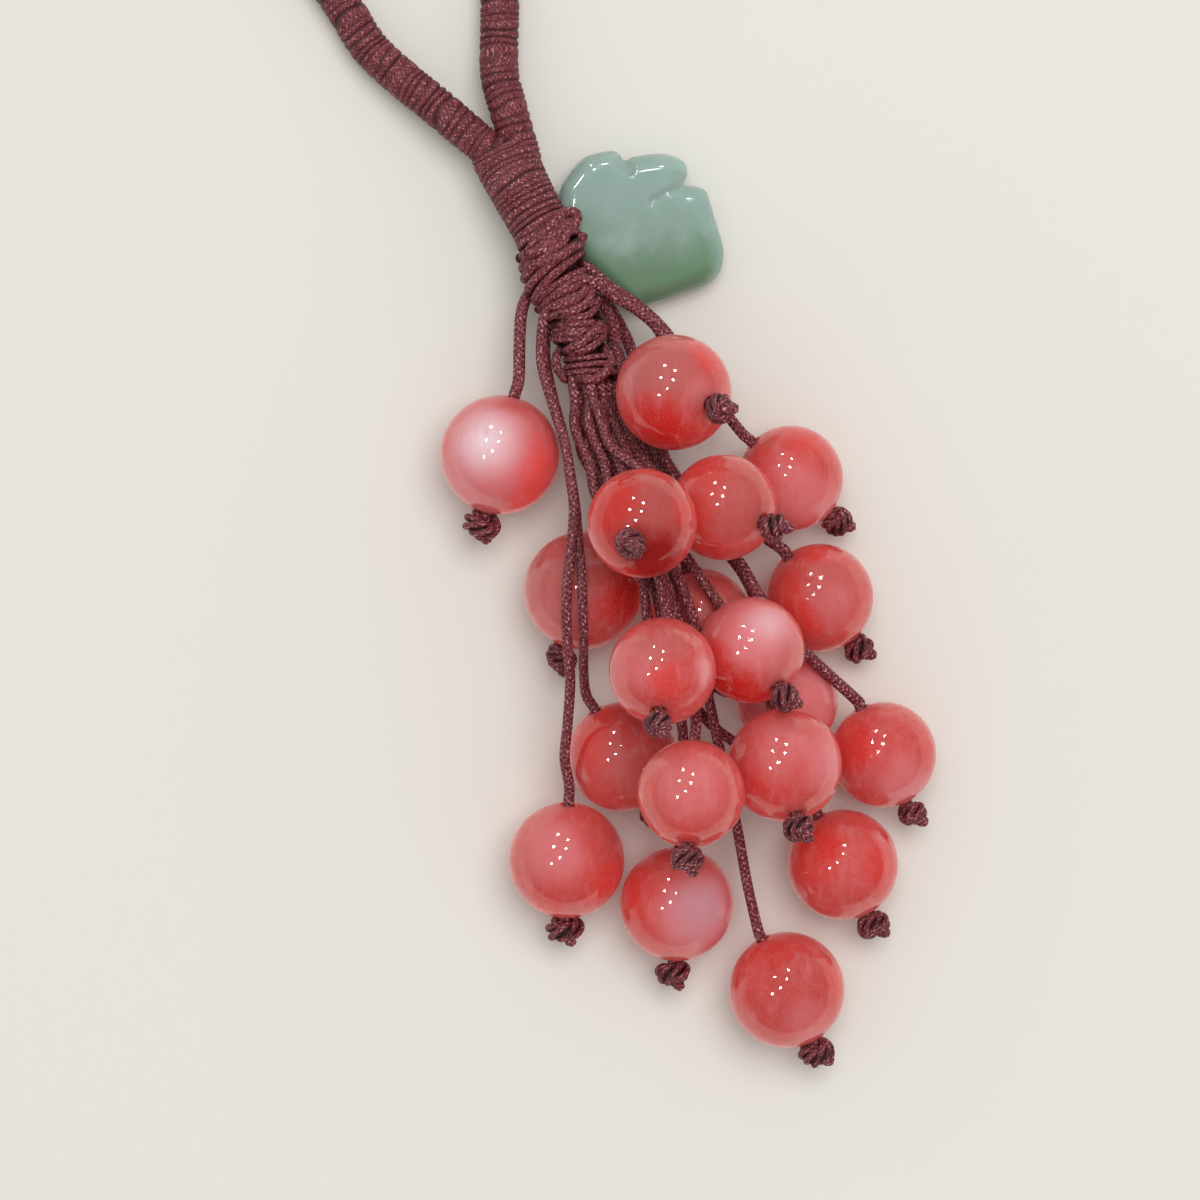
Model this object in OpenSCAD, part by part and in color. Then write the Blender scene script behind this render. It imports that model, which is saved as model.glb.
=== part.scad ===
/* [Beads] */
// Diameter of a middle-sized bead
bead_d = 12; // [11:0.5:12]
// Diameter of the hole drilled through a bead
bead_hole_d = 2.2; // [2:0.1:2.4]

/* [Threads] */
// Diameter of a braided thread
thread_d = 1.3; // [1:0.1:1.4]
// Number of sides of a thread
thread_sides = 8; // [6:1:10]
// Diameter of the stopper knot under a bead
stopper_d = 3.4; // [2.8:0.1:3.6]
// Length of the stopper knot
stopper_l = 3; // [2.6:0.1:3.4]
// Length of the thread's end below its knot
tail_l = 0.8; // [0.5:0.1:1.5]

/* [Stem] */
// Width of the wrapped stem at its middle
wrap_d = 6.4; // [6:0.1:6.6]
// Width of the thick knot below the wrapping
bulge_d = 7.7; // [7:0.1:8]
// Number of sides of the stem and its knots
stem_sides = 20; // [12:2:28]

/* [Loop] */
// Diameter of the hanging loop's cord
loop_d = 4.2; // [3.6:0.1:4.2]
// Number of sides of the loop's cord
loop_sides = 12; // [8:2:12]

/* [Leaf] */
// Thickness of the leaf at its middle
leaf_t = 5; // [4:0.5:5]
// Diameter of the hole in the leaf
leaf_hole_d = 1.7; // [1.6:0.1:1.8]
// How far the leaf's tied edge lifts off the surface
leaf_lift = 1.5; // [1.4:0.1:1.6]

/* [Hidden] */
// Every place is in millimetres, with the charm lying on z = 0 and its stem towards +Y.
// A bead: middle x, y, z, its size as a share of bead_d, and the way its hole runs towards its knot,
// as a heading in the plane and a rise, both in degrees.
BEADS = [
    [-20.0, 14.7, 6.4, 1.06, -104, -5],
    [-1.6, 21.1, 12.5, 1.02, -20, 48],
    [10.9, 12.2, 5.7, 0.94, -43, -12],
    [-5.0, 7.2, 21.7, 0.95, -121, 70],
    [3.6, 9.0, 14.0, 0.93, -22, 37],
    [14.0, -0.5, 5.8, 0.96, -52, -15],
    [-11.2, 0.3, 6.3, 1.05, -108, -10],
    [1.3, -2.9, 5.6, 0.92, -75, -10],
    [6.5, -6.0, 15.8, 0.93, -55, 32],
    [-2.9, -8.1, 21.9, 0.93, -95, 40],
    [10.6, -11.5, 5.4, 0.90, -70, -10],
    [20.8, -17.2, 5.7, 0.94, -64, -8],
    [10.0, -18.0, 15.1, 1.00, -78, 27],
    [-7.0, -17.4, 5.9, 0.97, -60, -10],
    [0.1, -20.8, 20.9, 0.93, -94, 17],
    [16.5, -28.9, 5.9, 0.98, -63, -8],
    [-12.9, -28.4, 6.2, 1.03, -92, -12],
    [-1.2, -33.1, 6.1, 1.01, -93, -8],
    [10.5, -42.2, 6.2, 1.03, -64, -8]
];
// A thread's way from the knots to its bead's hole, in points that a smooth curve runs through.
ROUTES = [
    [[-14.6, 32.8, 2.9], [-16.8, 32.2, 4.4], [-17.6, 30.3, 6.1], [-17.9, 27.2, 6.9]],
    [[-12.6, 32.5, 3.1], [-9.5, 31.4, 3.9], [-8.0, 29.4, 4.8], [-7.4, 26.8, 4.8], [-7.1, 24.8, 5.2]],
    [[-9.9, 35.0, 6.0], [-6.8, 33.0, 5.8], [-3.8, 30.3, 5.4], [-1.2, 26.5, 5.2], [2.2, 21.6, 6.0]],
    [[-7.9, 22.3, 8.3], [-7.2, 18.5, 9.3], [-5.6, 14.2, 10.3], [-4.0, 11.2, 12.0]],
    [[-7.9, 22.3, 5.7], [-6.6, 18.5, 6.6], [-4.9, 14.6, 7.9]],
    [[-10.3, 34.0, 7.4], [-7.0, 31.6, 7.0], [-4.4, 28.6, 5.6], [-3.4, 24.5, 4.6], [-3.4, 19.0, 4.8],
        [-2.3, 14.0, 5.6], [1.4, 9.6, 6.9], [5.6, 8.0, 7.6]],
    [[-12.1, 21.2, 5.7], [-11.0, 15.0, 5.7], [-9.6, 11.2, 6.8]],
    [[-9.3, 21.9, 5.7], [-7.8, 15.0, 4.6], [-4.0, 9.5, 5.2]],
    [[-8.6, 22.1, 7.0], [-6.9, 15.0, 8.4], [-4.0, 9.0, 10.0], [0.3, 3.0, 11.2]],
    [[-10.7, 21.5, 8.3], [-9.6, 15.0, 9.7], [-7.2, 9.0, 11.8], [-3.7, 3.0, 15.0]],
    [[-8.4, 30.6, 2.4], [-5.6, 26.0, 1.6], [-4.2, 21.0, 1.8], [-2.6, 15.5, 3.2], [0.4, 9.0, 5.4],
        [5.2, 3.0, 7.2], [7.5, -1.6, 7.3]],
    [[-9.8, 29.5, 3.2], [-7.4, 26.0, 2.6], [-5.6, 21.5, 3.2], [-5.0, 16.4, 5.0], [-3.4, 12.4, 6.3],
        [-0.2, 9.0, 7.4], [2.6, 6.1, 8.3], [5.4, 3.2, 9.2], [7.6, -0.6, 10.4], [10.0, -3.8, 10.3],
        [12.6, -6.6, 10.0], [15.0, -8.5, 8.8]],
    [[-10.7, 21.5, 5.7], [-9.1, 15.0, 6.2], [-6.1, 9.0, 7.7], [-2.5, 3.0, 10.4], [-1.1, -3.0, 11.6],
        [-0.5, -5.5, 11.2], [0.2, -8.0, 9.6], [2.0, -9.6, 9.0], [4.6, -9.6, 9.6], [7.0, -9.8, 10.6]],
    [[-14.9, 28.0, 5.4], [-14.8, 24.9, 5.3], [-13.8, 21.0, 5.8], [-12.4, 14.3, 7.7], [-11.6, 9.0, 9.8],
        [-11.3, 5.0, 11.9], [-11.2, 2.0, 13.3], [-11.2, -1.0, 13.6], [-11.2, -4.5, 12.4],
        [-11.2, -8.0, 9.4]],
    [[-9.3, 21.9, 8.3], [-8.0, 15.0, 9.6], [-5.5, 9.0, 11.4], [-3.1, 3.0, 13.3], [-1.5, -3.0, 13.9],
        [-0.3, -8.0, 15.0], [0.4, -11.0, 16.7]],
    [[-11.4, 21.4, 7.0], [-10.2, 15.0, 7.4], [-7.5, 9.0, 8.8], [-4.3, 3.0, 10.3], [-2.8, -3.0, 10.9],
        [-1.5, -8.0, 9.4], [1.5, -13.0, 7.0], [4.8, -15.8, 6.2], [8.6, -18.4, 6.4]],
    [[-15.6, 28.7, 8.5], [-15.9, 25.0, 8.4], [-14.9, 21.0, 8.8], [-13.3, 14.3, 10.9], [-12.7, 9.0, 12.6],
        [-12.6, 5.0, 13.4], [-12.9, -1.0, 13.9], [-13.1, -4.5, 13.0], [-12.7, -9.5, 11.4],
        [-13.1, -14.5, 10.3], [-13.2, -17.5, 9.6]],
    [[-12.1, 21.2, 8.3], [-11.2, 15.0, 9.0], [-8.9, 9.0, 10.3], [-5.3, 3.0, 12.0], [-4.3, -3.0, 12.4],
        [-3.0, -8.0, 12.2], [-0.9, -13.0, 11.0], [-0.5, -18.0, 9.2], [-0.6, -22.0, 7.9]],
    [[-10.0, 21.7, 7.0], [-8.5, 15.0, 7.9], [-5.9, 9.0, 9.5], [-1.8, 3.0, 12.0], [0.5, -3.0, 12.6],
        [1.4, -8.0, 11.4], [2.3, -12.0, 10.4], [3.4, -17.0, 9.2], [5.0, -24.0, 7.9], [6.3, -31.0, 7.3]]
];
// A bead's knot: how far along it, as a share of its length, and its half-width as a share of its radius.
STOPPER = [[0.07, 0.38], [0.13, 0.75], [0.4, 1], [0.73, 0.94], [1, 0.47]];
// The wrapped stem: middle x, y, z, its width and its height, both as shares of wrap_d.
WRAP = [
    [-19.9, 47.4, 4.5, 1.09, 0.72],
    [-19.3, 46.0, 4.7, 1.09, 0.88],
    [-17.7, 42.7, 5.8, 1.03, 1],
    [-15.7, 39.0, 6.4, 1, 1],
    [-15.1, 37.5, 6.6, 1, 1]
];
// The gathering knots below it: middle x, y, z, width and height, both as shares of bulge_d.
KNOTS = [
    [-15.0, 37.2, 6.6, 0.83, 0.83],
    [-14.7, 36.5, 6.7, 0.94, 0.94],
    [-14.4, 35.2, 6.8, 1, 1],
    [-13.6, 32.6, 6.9, 0.71, 0.71],
    [-12.4, 30.3, 7.0, 0.87, 0.87],
    [-11.8, 28.8, 7.0, 0.74, 0.74],
    [-11.5, 27.1, 7.0, 0.77, 0.77],
    [-11.0, 25.5, 7.0, 0.65, 0.65],
    [-10.4, 23.8, 7.0, 0.78, 0.73],
    [-10.1, 22.4, 7.0, 0.7, 0.62]
];
// Farthest apart that two rings of the stem lie.
stem_step = 1.3;
// The hanging loop, from the stem's left side round to its right side: x, y, z.
LOOP = [
    [-22.0, 47.9, 4.4], [-24.4, 49.9, 4.3], [-27.2, 52.3, 3.8], [-30.6, 55.1, 3.0], [-34.1, 58.5, 2.4],
    [-37.0, 63.1, 2.2], [-41.0, 69.0, 2.2], [-45.5, 76.0, 2.2], [-49.0, 84.0, 2.2], [-51.0, 92.0, 2.2],
    [-51.0, 100.5, 2.2], [-48.0, 108.0, 2.2], [-42.5, 113.0, 2.2], [-35.5, 114.0, 2.2],
    [-29.0, 111.0, 2.2], [-24.5, 105.0, 2.2], [-22.0, 97.0, 2.2], [-20.5, 88.0, 2.2], [-20.0, 78.0, 2.2],
    [-20.0, 68.0, 2.3], [-20.1, 61.0, 2.7], [-20.1, 55.6, 3.6], [-19.3, 52.2, 4.3], [-18.5, 49.1, 4.4]
];
// The leaf seen from above: x, y. The two inward corners are the carved notches of its edge.
LEAF = [
    [-13.8, 40.2], [-12.5, 37.0], [-10.4, 34.5], [-8.3, 32.3], [-6.1, 30.6], [-4.2, 30.8], [-0.8, 31.9],
    [2.2, 33.1], [3.5, 34.4], [3.9, 36.3], [3.6, 38.0], [2.6, 41.2], [2.0, 43.0], [0.9, 43.5],
    [-0.4, 43.7], [0.0, 45.0], [-0.6, 46.3], [-2.6, 47.0], [-5.6, 46.7], [-6.7, 46.3], [-7.6, 47.2],
    [-9.4, 47.1], [-11.2, 46.4], [-12.7, 44.7], [-13.7, 42.9]
];
// The leaf's side, from below: share of the outline, and height as a share of its thickness.
LEAF_SIDE = [
    [0.55, 0], [0.85, 0.05], [0.96, 0.2], [1, 0.38], [0.97, 0.58], [0.88, 0.76], [0.7, 0.9], [0.4, 0.98]
];
// Middle of the leaf, which its rings are drawn towards.
leaf_middle = [-4.7, 38.8];
// The leaf is thinned to this share at its tied edge, and has its full thickness a little way in.
leaf_edge_share = 0.62;
leaf_edge_x = -14;
leaf_full_x = -8;
// The leaf begins to lift here, and is up at its tied edge.
leaf_low_x = -10;
leaf_high_x = -13.5;
// Middle of the hole for the leaf's thread.
leaf_hole = [-12.4, 38.5];
// The leaf's thread, from under the thick knot up through the hole: x, y, z.
LEAF_THREAD = [
    [-14.8, 36.3, 2.2], [-14.2, 37.4, 1.0], [-13.2, 38.2, 0.8], [-12.4, 38.5, 1.9], [-12.4, 38.5, 4.2]
];
// Farthest apart that two rings of a thread or of the loop lie.
thread_step = 2.6;
loop_step = 8.4;
// Straight lead of a thread into its bead's hole.
lead = 2;
// Share of its width that the loop's cord keeps where it is squeezed into the stem.
squeeze = 0.8;
// Share of its width that a thread keeps at its cut end.
cut_share = 0.84;
// Smoothness of the beads and holes.
bead_fn = 48;
hole_fn = 24;

// A name with its number, counted from 01.
function numbered(name, i) = str(name, i < 9 ? "0" : "", i + 1);
// A direction of length 1.
function unit(v) = v / norm(v);
// A soft start and stop between 0 and 1.
function ease(t) = t * t * (3 - 2 * t);
// The way a bead's hole runs, towards its knot.
function bead_axis(b) = [cos(b[5]) * cos(b[4]), cos(b[5]) * sin(b[4]), sin(b[5])];
// The place that begins a row.
function place(row) = [row[0], row[1], row[2]];

// Place t of the way from b to c, on a smooth curve that also runs through a and d.
function between(a, b, c, d, t) = (2 * b + (c - a) * t + (2 * a - 5 * b + 4 * c - d) * t ^ 2
    + (3 * b - a - 3 * c + d) * t ^ 3) / 2;
// A smooth curve through rows of numbers. Its first three numbers are a place, and no two points on it
// lie much over step apart. The rows before and after shape its ends.
function smooth(rows, step, before, after) = let (r = concat([before], rows, [after])) [
    for (i = [1 : len(rows)])
        let (far = norm([for (k = [0 : 2]) r[min(i + 1, len(rows))][k] - r[i][k]]))
        let (n = max(1, round(far / step)))
        for (k = [0 : n - 1]) k == 0 ? r[i] : between(r[i - 1], r[i], r[i + 1], r[i + 2], k / n)
];
// The same with ends that run on straight.
function curve(rows, step) = let (n = len(rows))
    smooth(rows, step, 2 * rows[0] - rows[1], 2 * rows[n - 1] - rows[n - 2]);
// Directions of a line of points.
function headings(p) = let (n = len(p))
    [for (i = [0 : n - 1]) unit(p[min(i + 1, n - 1)] - p[max(i - 1, 0)])];
// A level side direction at the first point, carried along the line without twisting.
function sides_along(t) = let (first = unit(cross([0, 0, 1], t[0]))) [
    for (i = 0, u = first; i < len(t); i = i + 1, u = i < len(t) ? unit(u - (u * t[i]) * t[i]) : u) u
];
// A ring of points round a middle, in the plane of u and v.
function ring(middle, u, v, ru, rv, sides) =
    [for (k = [0 : sides - 1]) middle + ru * cos(360 * k / sides) * u + rv * sin(360 * k / sides) * v];
// The rings of a round cord with a radius at each of its points.
function cord_rings(p, radii, sides) = let (t = headings(p), u = sides_along(t))
    [for (i = [0 : len(p) - 1]) ring(p[i], u[i], cross(t[i], u[i]), radii[i], radii[i], sides)];
// The rings of a lying stem of diameter d, each upright and square to its way.
function stem_rings(rows, d) = let (
    c = curve(rows, stem_step),
    t = headings([for (r = c) [r[0], r[1], 0]])
) [for (i = [0 : len(c) - 1])
    ring(place(c[i]), cross([0, 0, 1], t[i]), [0, 0, 1], c[i][3] * d / 2, c[i][4] * d / 2, stem_sides)];
// The points of a thread, from the knots through its bead to the mouth of its hole.
function thread_points(i) = let (
    b = BEADS[i],
    a = bead_axis(b),
    r = bead_d * b[3] / 2,
    c = place(b)
) concat(smooth(concat(ROUTES[i], [c - a * (r + lead), c - a * r]), thread_step,
    2 * ROUTES[i][0] - ROUTES[i][1], c), [c + a * r]);

// A closed skin over rings that have the same number of points.
module skin(rings) {
    n = len(rings[0]);
    last = len(rings) - 1;
    walls = [for (i = [0 : last - 1], k = [0 : n - 1]) let (
        a = i * n + k,
        b = i * n + (k + 1) % n
    ) each [[a, a + n, b], [b, a + n, b + n]]];
    polyhedron(
        points = [for (r = rings) each r],
        faces = concat([[for (k = [0 : n - 1]) k]], walls, [[for (k = [n - 1 : -1 : 0]) last * n + k]])
    );
}

module hang_loop() {
    p = curve(LOOP, loop_step);
    last = len(p) - 1;
    radii = [for (i = [0 : last]) loop_d / 2 * (i == 0 || i == last ? squeeze : 1)];
    color("maroon") skin(cord_rings(p, radii, loop_sides));
}

module stem_wrap() {
    color("maroon") skin(stem_rings(WRAP, wrap_d));
}

module gather_knots() {
    color("brown") skin(stem_rings(KNOTS, bulge_d));
}

// A smooth closed outline, with one more point between each two.
function curve_round(p) = let (n = len(p)) [
    for (i = [0 : n - 1], t = [0, 0.5])
        between(p[(i + n - 1) % n], p[i], p[(i + 1) % n], p[(i + 2) % n], t)
];
// How far along from one x to another, from 0 to 1.
function along(x, from, to) = min(max((x - from) / (to - from), 0), 1);
// A point of the leaf, thinner towards its tied edge, which lifts off the surface.
function leaf_point(p, h) = let (
    thick = leaf_t * (leaf_edge_share + (1 - leaf_edge_share) * along(p[0], leaf_edge_x, leaf_full_x)),
    lift = leaf_lift * ease(along(p[0], leaf_low_x, leaf_high_x))
) [p[0], p[1], lift + thick * h];

module leaf() {
    outline = curve_round(LEAF);
    rings = [for (s = LEAF_SIDE)
        [for (p = outline) leaf_point(leaf_middle + (p - leaf_middle) * s[0], s[1])]];
    color("darkseagreen") difference() {
        skin(rings);
        translate(leaf_hole) cylinder(d = leaf_hole_d, h = 4 * leaf_t, center = true, $fn = hole_fn);
    }
}

module leaf_thread() {
    p = curve(LEAF_THREAD, thread_step / 2);
    color("maroon") skin(cord_rings(p, [for (q = p) thread_d / 2], thread_sides));
}

module bead(i) {
    b = BEADS[i];
    color("indianred") translate(place(b)) rotate([0, 90 - b[5], b[4]]) difference() {
        sphere(d = bead_d * b[3], $fn = bead_fn);
        cylinder(d = bead_hole_d, h = 2 * bead_d, center = true, $fn = hole_fn);
    }
}

module thread(i) {
    way = thread_points(i);
    mouth = way[len(way) - 1];
    a = bead_axis(BEADS[i]);
    knot = [for (s = STOPPER) mouth + a * stopper_l * s[0]];
    end = [mouth + a * (stopper_l + tail_l)];
    radii = concat(
        [for (p = way) thread_d / 2],
        [for (s = STOPPER) stopper_d / 2 * s[1]],
        [thread_d / 2 * cut_share]
    );
    color("maroon") skin(cord_rings(concat(way, knot, end), radii, thread_sides));
}

hang_loop();
stem_wrap();
gather_knots();
leaf();
leaf_thread();
for (i = [0 : len(BEADS) - 1]) {
    bead(i);
    thread(i);
}
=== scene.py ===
# %% [markdown]
# A woven cord charm, made piece by piece
#
# The charm is a bunch of coral-coloured beads on braided threads, gathered in knots under a whipped stem,
# with a jade-coloured leaf beside it and a cord loop to hang it by. Each piece is a surface worked out
# with numpy and put into a mesh, and each finish is arithmetic on shader sockets.

# %% Load the frame
import math

import bpy
import numpy as np
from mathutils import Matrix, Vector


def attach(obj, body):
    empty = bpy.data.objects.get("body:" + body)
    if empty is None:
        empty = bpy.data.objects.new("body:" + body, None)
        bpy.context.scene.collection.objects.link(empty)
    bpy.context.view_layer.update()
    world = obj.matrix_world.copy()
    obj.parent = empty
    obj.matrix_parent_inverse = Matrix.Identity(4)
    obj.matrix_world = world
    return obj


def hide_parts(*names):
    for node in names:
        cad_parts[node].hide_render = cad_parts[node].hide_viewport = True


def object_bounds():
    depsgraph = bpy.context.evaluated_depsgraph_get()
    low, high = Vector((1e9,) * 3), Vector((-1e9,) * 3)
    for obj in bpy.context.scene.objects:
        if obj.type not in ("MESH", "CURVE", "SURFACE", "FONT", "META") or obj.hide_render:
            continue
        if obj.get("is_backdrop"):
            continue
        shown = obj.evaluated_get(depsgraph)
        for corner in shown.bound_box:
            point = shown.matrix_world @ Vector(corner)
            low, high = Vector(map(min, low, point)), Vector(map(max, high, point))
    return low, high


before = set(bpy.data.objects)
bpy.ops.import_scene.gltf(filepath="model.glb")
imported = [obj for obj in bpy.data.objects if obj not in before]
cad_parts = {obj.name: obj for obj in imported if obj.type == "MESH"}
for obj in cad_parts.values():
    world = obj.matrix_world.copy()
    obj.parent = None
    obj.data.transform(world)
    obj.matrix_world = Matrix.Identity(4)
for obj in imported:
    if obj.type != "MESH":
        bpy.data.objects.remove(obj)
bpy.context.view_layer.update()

MM = 0.001

# %% [markdown]
# The camera looks straight down, as the picture was taken. Its lens follows from a width that is known:
# at bead height, the frame is 127.7 mm across. From 600 mm away, the beads stay round at the edges.

# %% Camera
CAMERA_HEIGHT = 600 * MM
CAMERA_OVER = (-9.36 * MM, -0.745 * MM)
BEAD_HEIGHT = 6 * MM
FRAME_WIDTH = 127.66 * MM


def add_object(name, data):
    """A new object in the scene, at the origin."""
    made = bpy.data.objects.new(name, data)
    bpy.context.scene.collection.objects.link(made)
    return made


camera = add_object("camera", bpy.data.cameras.new("camera"))
camera.data.sensor_width = 36
camera.data.lens = camera.data.sensor_width * (CAMERA_HEIGHT - BEAD_HEIGHT) / FRAME_WIDTH
camera.data.clip_start = 0.01
camera.location = (*CAMERA_OVER, CAMERA_HEIGHT)
bpy.context.scene.camera = camera
print("lens in mm:", round(camera.data.lens, 1))

# %% [markdown]
# These sizes and tables are the ones that the solids are built from, but a few threads are laid a little
# nearer to where they lie in the picture. A row of BEADS is a bead's middle, its size as a share of
# BEAD_D, and the way its hole runs, as a heading in the plane and a rise. A row of ROUTES is the way of
# that bead's thread from the knots to its hole. A smooth curve runs through the points.

# %% Sizes, in millimetres
BEAD_D = 12
THREAD_D = 1.3
STOPPER_D = 3.4
STOPPER_L = 3
TAIL_L = 1.1
TAIL_ASIDE = 1.1
WRAP_D = 6.4
BULGE_D = 7.7
LOOP_D = 4.2
X_AXIS = np.array([1.0, 0, 0])
Z_AXIS = np.array([0, 0, 1.0])
print("bead and thread in mm:", BEAD_D, THREAD_D)

# %% Where the beads and their threads lie
BEADS = [
    [-20, 14.7, 6.4, 1.06, -104, -5],
    [-1.6, 21.1, 12.5, 1.02, -20, 48],
    [10.9, 12.2, 5.7, 0.94, -43, -12],
    [-5, 7.2, 21.7, 0.95, -121, 70],
    [3.6, 9, 14, 0.93, -22, 37],
    [14, -0.5, 5.8, 0.96, -52, -15],
    [-11.2, 0.3, 6.3, 1.05, -108, -10],
    [1.3, -2.9, 5.6, 0.92, -75, -10],
    [6.5, -6, 15.8, 0.93, -55, 32],
    [-2.9, -8.1, 21.9, 0.93, -95, 40],
    [10.6, -11.5, 5.4, 0.9, -70, -10],
    [20.8, -17.2, 5.7, 0.94, -64, -8],
    [10, -18, 15.1, 1, -78, 27],
    [-7, -17.4, 5.9, 0.97, -60, -10],
    [0.1, -20.8, 20.9, 0.93, -94, 17],
    [16.5, -28.9, 5.9, 0.98, -63, -8],
    [-12.9, -28.4, 6.2, 1.03, -92, -12],
    [-1.2, -33.1, 6.1, 1.01, -93, -8],
    [10.5, -42.2, 6.2, 1.03, -64, -8],
]
ROUTES = [
    [[-14.9, 32.9, 3.6], [-16.6, 32.2, 4.5], [-17.6, 30.3, 6.1], [-17.9, 27.2, 6.9]],
    [[-12.2, 32.4, 3.1], [-9.5, 31.2, 3.9], [-8.1, 29.2, 4.7], [-7.7, 26.8, 4.5], [-7.5, 25, 4.9]],
    [[-10.2, 34.3, 6.2], [-8.4, 32.7, 6.1], [-5.8, 31, 5.7], [-3, 28.6, 5.3], [-0.8, 25.8, 5.2],
     [2.2, 21.6, 6]],
    [[-10.3, 21.9, 9.2], [-9.8, 19, 9.9], [-8.8, 16.9, 10.5], [-7.8, 15.4, 11], [-6.2, 13.8, 11.6],
     [-4.6, 12.2, 12.4]],
    [[-8.1, 22.3, 5.7], [-7, 18.5, 6.4], [-5.6, 15, 7.6]],
    [[-11, 33.2, 8.3], [-9.5, 32.6, 7.9], [-7.8, 31.5, 7.4], [-5.4, 30.1, 6.9], [-3.3, 28.2, 6.7],
     [-2.4, 26, 6.1], [-2.8, 23, 4.9], [-3.3, 19, 4.8], [-2.3, 14, 5.6], [1.4, 9.6, 6.9],
     [5.9, 7.3, 7.4]],
    [[-12.1, 21.2, 5.7], [-11, 15, 5.7], [-9.6, 11.2, 6.8]],
    [[-9.3, 21.9, 5.7], [-7.8, 15, 4.6], [-4, 9.5, 5.2]],
    [[-8.6, 22.1, 7], [-6.9, 15, 8.4], [-4, 9, 10], [0.3, 3, 11.2]],
    [[-10.7, 21.5, 8.3], [-9.6, 15, 9.7], [-7.2, 9, 11.8], [-3.7, 3, 15]],
    [[-8.4, 30.6, 2.4], [-6, 26, 1.6], [-5.2, 21, 1.8], [-3.9, 15.5, 3.2], [-0.2, 9, 5.4],
     [5.2, 3, 7.2], [7.5, -1.6, 7.3]],
    [[-9.8, 29.5, 3.2], [-7.6, 26, 2.6], [-6.4, 21.5, 3.2], [-5.4, 16.4, 5], [-3.6, 12.4, 6.3],
     [-0.2, 9, 7.4], [2.6, 6.1, 8.3], [5.4, 3.2, 9.2], [7.6, -0.6, 10.4], [10, -3.8, 10.3],
     [12.4, -6.4, 10], [14.9, -8.7, 8.6]],
    [[-10.7, 21.5, 5.7], [-9.1, 15, 6.2], [-6.1, 9, 7.7], [-2.5, 3, 10.4], [-1.1, -3, 11.6],
     [-0.5, -5.5, 11.2], [0.2, -8, 9.6], [2, -9.6, 9], [4.6, -9.6, 9.6], [7, -9.8, 10.6]],
    [[-15, 28.2, 5.6], [-15.1, 24.8, 5.6], [-14.5, 21.5, 6.3], [-13.2, 16.5, 8], [-12.4, 12.2, 9.7],
     [-11.9, 8.8, 11], [-11.6, 5, 12.2], [-11.3, 2, 13.3], [-11.2, -1, 13.6], [-11.1, -4.5, 12.5],
     [-11.1, -8, 9.6]],
    [[-9.3, 21.9, 8.3], [-8, 15, 9.6], [-5.5, 9, 11.4], [-3.1, 3, 13.3], [-1.5, -3, 13.9],
     [-0.3, -8, 15], [0.4, -11, 16.7]],
    [[-11.4, 21.4, 7], [-10.2, 15, 7.4], [-7.5, 9, 8.8], [-4.3, 3, 10.3], [-2.8, -3, 10.9],
     [-1.5, -8, 9.4], [1.5, -13, 7], [4.8, -15.8, 6.2], [8.6, -18.4, 6.4]],
    [[-15.4, 28.7, 8.4], [-15.6, 24.8, 8.4], [-14.9, 21.7, 8.8], [-13.6, 17.6, 9.6], [-12.9, 15, 10.4],
     [-12.5, 12.2, 11.4], [-12.1, 8.8, 12.6], [-12.4, 4.5, 13.5], [-12.8, 1, 13.9], [-12.9, -2.5, 13.6],
     [-12.7, -6.5, 12.4], [-12.5, -9.5, 11.4], [-12.8, -14, 10.3], [-13.1, -17.5, 9.6]],
    [[-12.1, 21.2, 8.3], [-11.2, 15, 9], [-8.9, 9, 10.3], [-5.3, 3, 12], [-4.3, -3, 12.4],
     [-3, -8, 12.2], [-0.9, -13, 11], [-0.5, -18, 9.2], [-0.6, -22, 7.9]],
    [[-10, 21.7, 7], [-8.5, 15, 7.9], [-5.9, 9, 9.5], [-1.8, 3, 12], [0.5, -3, 12.6], [1.4, -8, 11.4],
     [2.3, -12, 10.4], [3.4, -17, 9.2], [5, -24, 7.9], [6.3, -31, 7.3]],
]
# A route ends this far before its bead's hole, and on a few threads nearer.
LEAD = 2
LEAD_OF = {5: 1.0, 11: 0.8, 18: 0.8}
print("beads:", len(BEADS), "threads:", len(ROUTES))

# %% Where the stem, the knots and the loop lie
# Middle x, y, z, then the width and the height, as shares of WRAP_D in WRAP and of BULGE_D in KNOTS.
WRAP = [
    [-19.9, 47.4, 4.5, 1.09, 0.72],
    [-19.3, 46, 4.7, 1.09, 0.88],
    [-17.7, 42.7, 5.8, 1.03, 1],
    [-15.7, 39, 6.4, 1, 1],
    [-15.1, 37.5, 6.6, 1, 1],
]
KNOTS = [
    [-15, 37.2, 6.6, 0.83, 0.83],
    [-14.7, 36.5, 6.7, 0.94, 0.94],
    [-14.4, 35.2, 6.8, 1, 1],
    [-13.6, 32.6, 6.9, 0.71, 0.71],
    [-12.4, 30.3, 7, 0.87, 0.87],
    [-11.8, 28.8, 7, 0.74, 0.74],
    [-11.5, 27.1, 7, 0.77, 0.77],
    [-11, 25.5, 7, 0.65, 0.65],
    [-10.4, 23.8, 7, 0.78, 0.73],
    [-10.1, 22.4, 7, 0.7, 0.62],
]
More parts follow.
